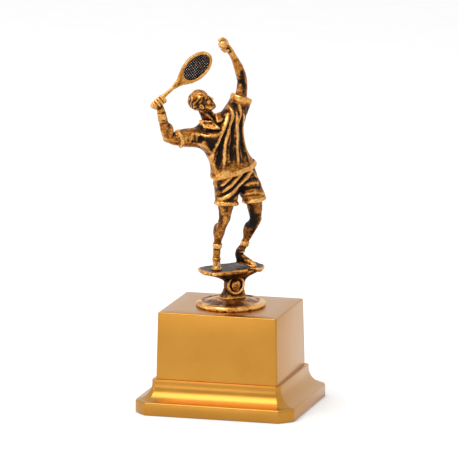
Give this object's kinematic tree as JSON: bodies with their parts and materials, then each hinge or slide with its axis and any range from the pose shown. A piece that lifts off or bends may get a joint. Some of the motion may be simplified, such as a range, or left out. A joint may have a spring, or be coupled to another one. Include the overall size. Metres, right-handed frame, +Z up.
{
  "type": "figure trophy",
  "caption": "Cast figure of a tennis player serving, on a turned anvil-shaped stand and a round disc, bolted to a hollow rectangular pedestal with a coved plinth.",
  "frame": {"origin": "middle of the underside, on the surface the trophy stands on", "axes": "+Z up through the figure, -Y out of the pedestal's front face, +X to the viewer's right of that face"},
  "size_m": [0.09, 0.08, 0.2052],
  "materials": {
    "gold_plastic": "gold metallic moulded plastic, satin to gloss",
    "antique_gold": "antique gold paint rubbed over black on a zinc-alloy casting",
    "dark_strings": "black-brown antique paint left in the string lattice",
    "felt": "black felt",
    "cover_plastic": "matt black plastic plate",
    "ballast": "rough cast iron",
    "steel": "zinc-plated steel"
  },
  "bodies": {
    "root": {"base_shell": "gold_plastic", "felt_pad": "felt", "bottom_cover": "cover_plastic", "ballast_block": "ballast", "cover_screws": "steel", "clamp_plate": "steel", "flat_washer": "steel", "spring_washer": "steel", "hex_nut": "steel", "mounting_stud": "steel", "foot_disc": "antique_gold", "stand": "antique_gold", "shirt": "antique_gold", "shorts": "antique_gold", "head": "antique_gold", "right_arm": "antique_gold", "left_arm": "antique_gold", "right_leg": "antique_gold", "left_leg": "antique_gold", "racket_frame": "antique_gold", "racket_strings": "dark_strings", "tennis_ball": "antique_gold"}
  },
  "joints": []
}
